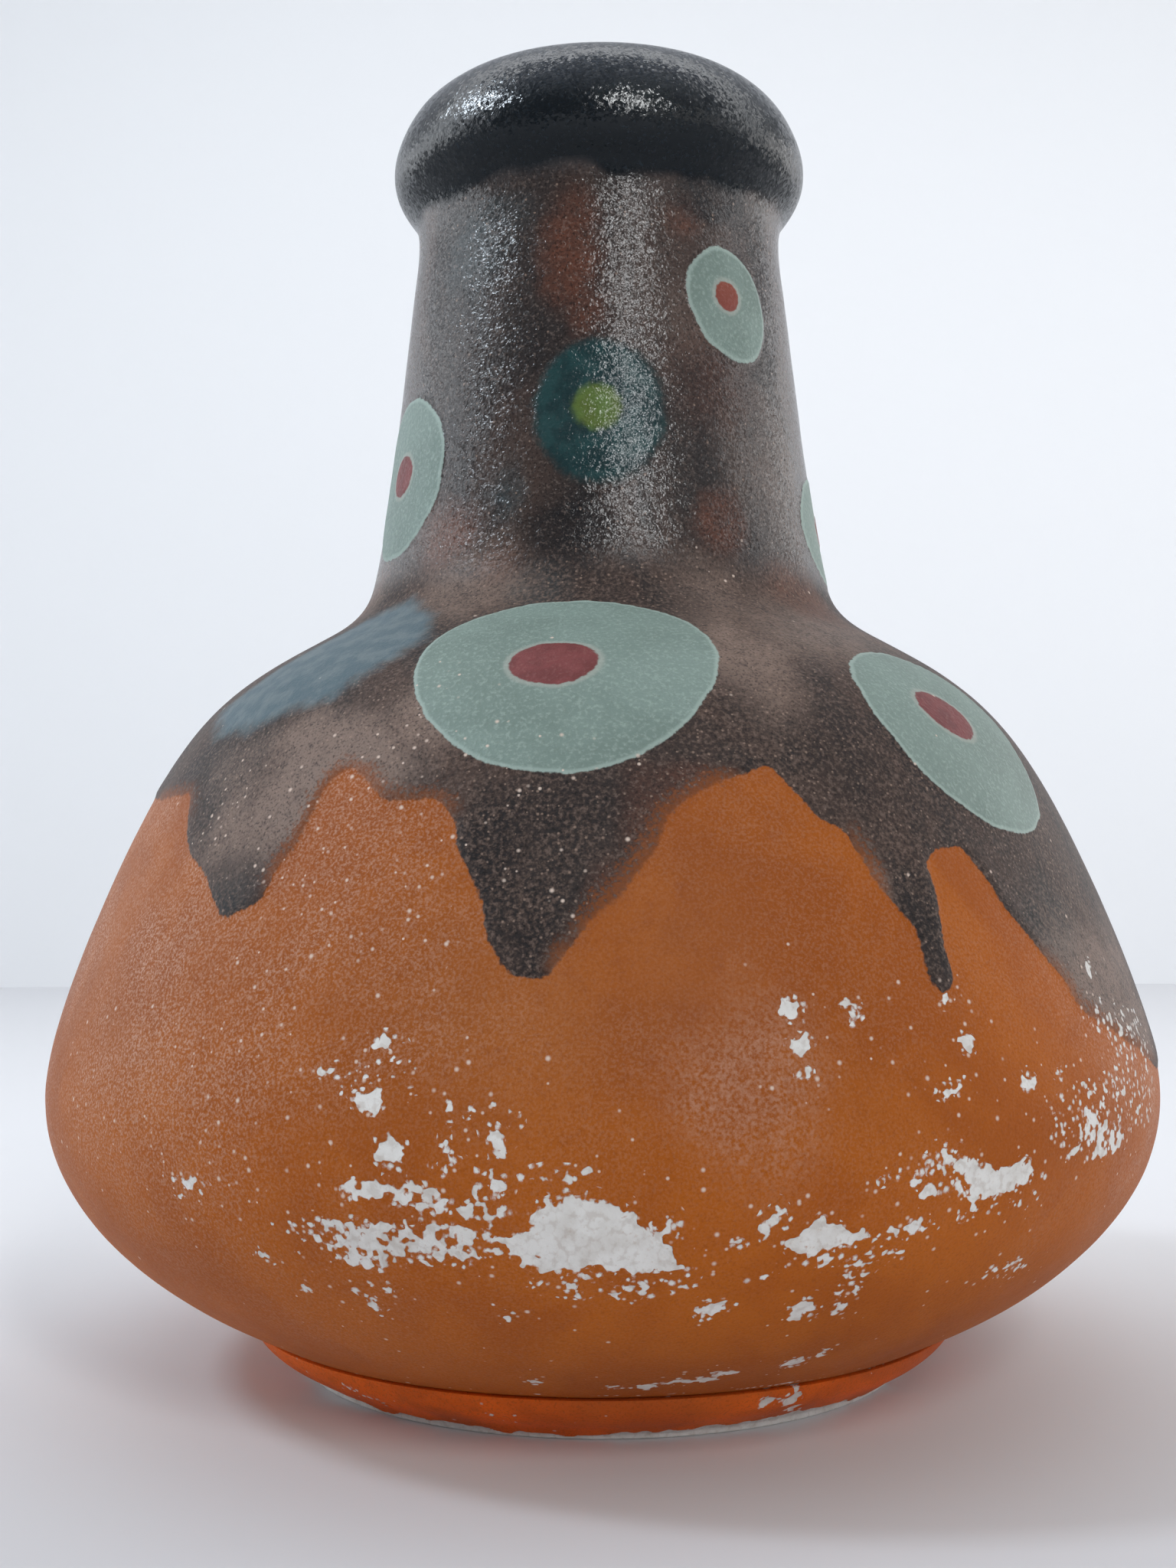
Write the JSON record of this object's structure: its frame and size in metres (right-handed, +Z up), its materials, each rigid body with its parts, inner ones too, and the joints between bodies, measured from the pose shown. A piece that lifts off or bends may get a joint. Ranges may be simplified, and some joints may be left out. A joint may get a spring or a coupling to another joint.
{
  "type": "ceramic vase",
  "caption": "Bottle-shaped ceramic vase with a wide low belly, tall tapering neck, thick rolled rim and small foot ring; dark drip glaze with pale ovals over burnt orange.",
  "frame": {"origin": "on the vase's axis, in the plane that the foot ring stands on", "axes": "+Z up along the axis of revolution, -Y towards the viewer of the picture, +X to the viewer's right"},
  "size_m": [0.1694, 0.1694, 0.1994],
  "materials": {
    "foot_glaze": "satin red-brown glaze, worn to white clay along its bottom edge",
    "orange_glaze": "satin burnt-orange glaze with pale speckle and flaked white patches",
    "drip_glaze": "dark brown glaze running in drips over burnt orange, with pale green ovals",
    "mottled_glaze": "satin-gloss mottled brown and black glaze with pale green spots",
    "black_glaze": "satin-gloss blue-black glaze with a grainy sparkle"
  },
  "bodies": {
    "root": {"foot_ring": "foot_glaze", "lower_bowl": "orange_glaze", "shoulder": "drip_glaze", "neck": "mottled_glaze", "rim": "black_glaze"}
  },
  "joints": []
}
